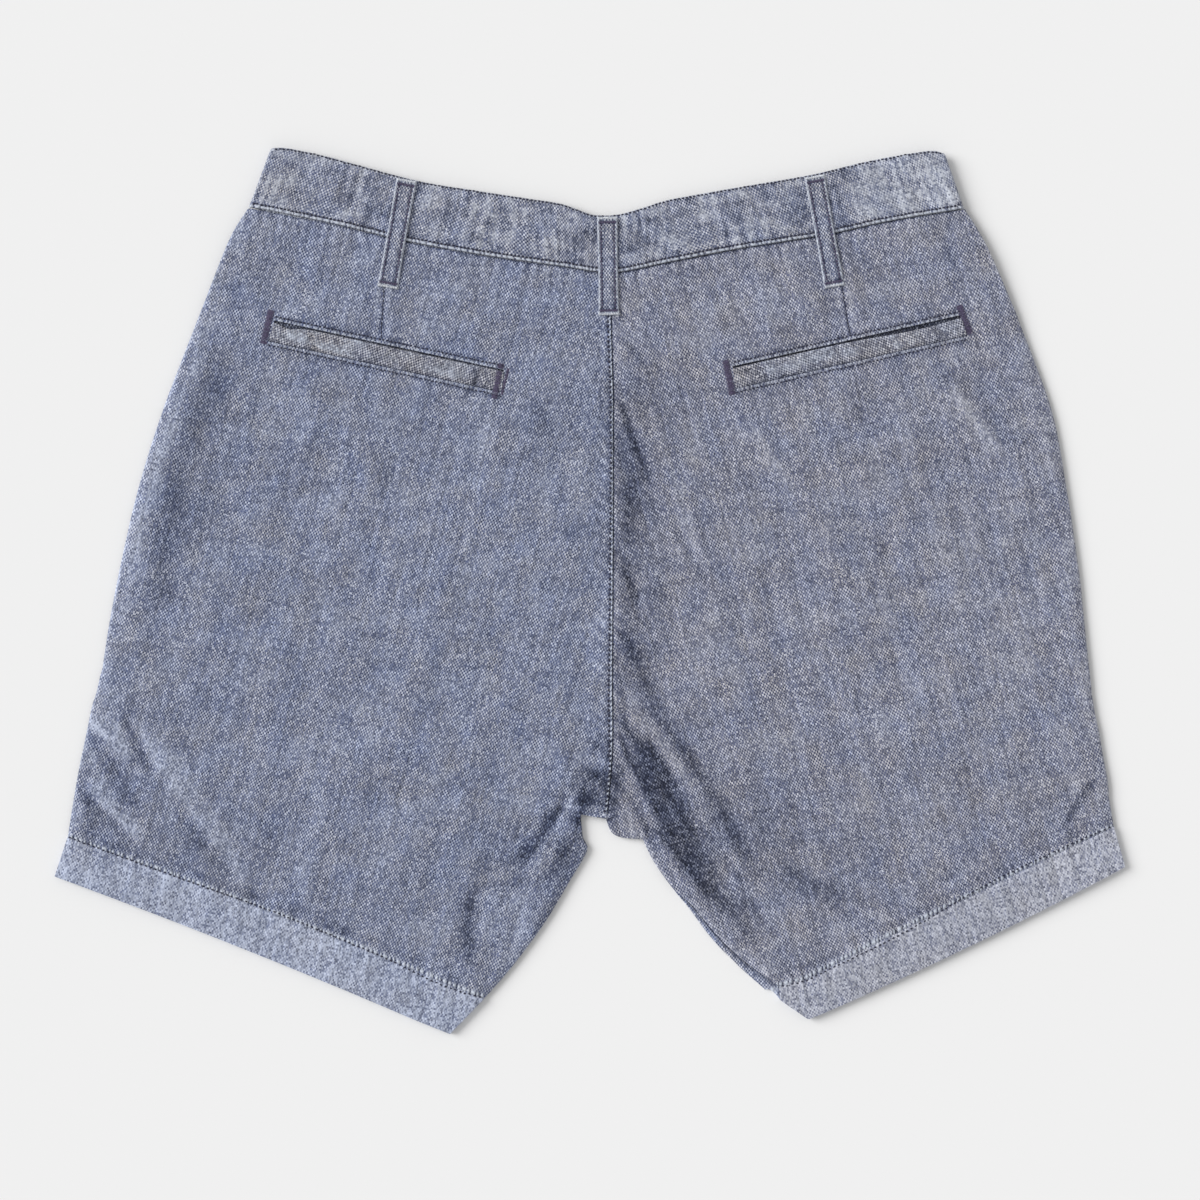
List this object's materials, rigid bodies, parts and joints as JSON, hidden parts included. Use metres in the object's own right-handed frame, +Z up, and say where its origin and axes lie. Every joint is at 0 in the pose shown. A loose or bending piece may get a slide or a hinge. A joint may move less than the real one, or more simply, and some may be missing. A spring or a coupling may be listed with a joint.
{
  "type": "chambray shorts",
  "caption": "Chambray shorts laid flat on their front, back facing up, with a waistband, belt loops, welt back pockets and turned-up hems.",
  "frame": {"origin": "on the surface that the shorts lie on, under the middle of their bounding box", "axes": "+Z up from the surface through the back panels, +Y from the legs to the waist, -X the wearer's left"},
  "size_m": [0.6625, 0.5483, 0.0088],
  "materials": {
    "chambray": "plain-weave chambray of indigo warp and grey-white weft, matt",
    "chambray_band": "the same chambray in two layers, a little paler and worn at its edges",
    "chambray_welt": "the same chambray on the bias, greyer",
    "button": "dark four-hole button"
  },
  "bodies": {
    "root": {"back_left": "chambray", "back_right": "chambray", "front_left": "chambray", "front_right": "chambray", "waistband_left": "chambray_band", "waistband_right": "chambray_band", "belt_loop_centre": "chambray_band", "belt_loop_back_left": "chambray_band", "belt_loop_back_right": "chambray_band", "belt_loop_front_left": "chambray_band", "belt_loop_front_right": "chambray_band", "welt_left": "chambray_welt", "welt_right": "chambray_welt", "pocket_facing_left": "chambray_welt", "pocket_facing_right": "chambray_welt", "waist_button": "button"}
  },
  "joints": []
}
